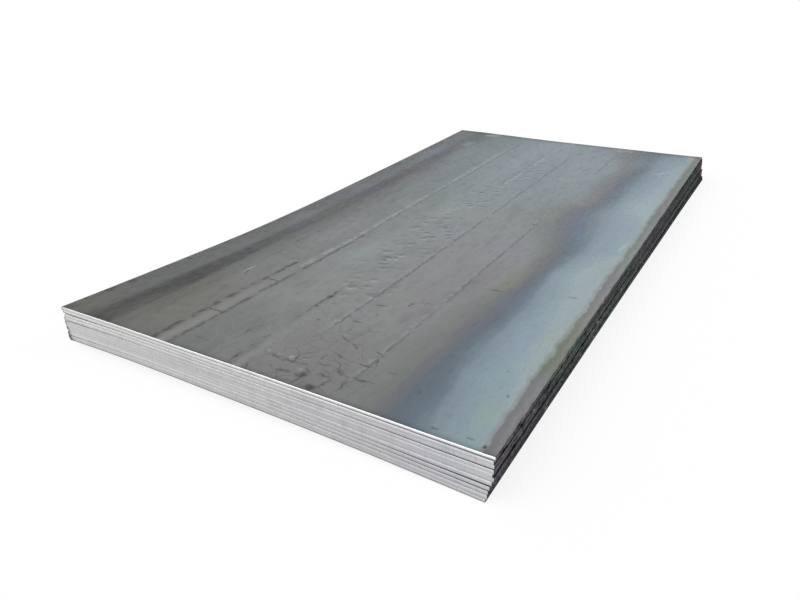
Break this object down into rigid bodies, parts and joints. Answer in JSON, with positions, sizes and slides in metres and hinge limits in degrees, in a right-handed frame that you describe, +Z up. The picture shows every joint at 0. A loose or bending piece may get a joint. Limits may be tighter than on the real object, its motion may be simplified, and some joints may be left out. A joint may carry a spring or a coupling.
{
  "type": "steel plate stack",
  "caption": "Stack of hot-rolled steel plates laid flat on each other, with sheared bright end edges, dark mill-scale faces, a sagging left side and corners that part slightly.",
  "frame": {"origin": "on the floor under the middle of the stack's outline, the centre of the bounding box's bottom", "axes": "+X across the plates' width towards the right-hand long edge, +Y along their length away from the near end, +Z up through the stack"},
  "size_m": [1.5338, 3.0164, 0.1508],
  "materials": {
    "hot_rolled_steel": "blue-grey hot-rolled mill scale on the faces, bright sheared end edges, dark long edges"
  },
  "bodies": {
    "root": {"plate_01": "hot_rolled_steel", "plate_02": "hot_rolled_steel", "plate_03": "hot_rolled_steel", "plate_04": "hot_rolled_steel", "plate_05": "hot_rolled_steel", "plate_06": "hot_rolled_steel", "plate_07": "hot_rolled_steel", "plate_08": "hot_rolled_steel", "plate_09": "hot_rolled_steel", "plate_10": "hot_rolled_steel", "plate_11": "hot_rolled_steel"}
  },
  "joints": []
}
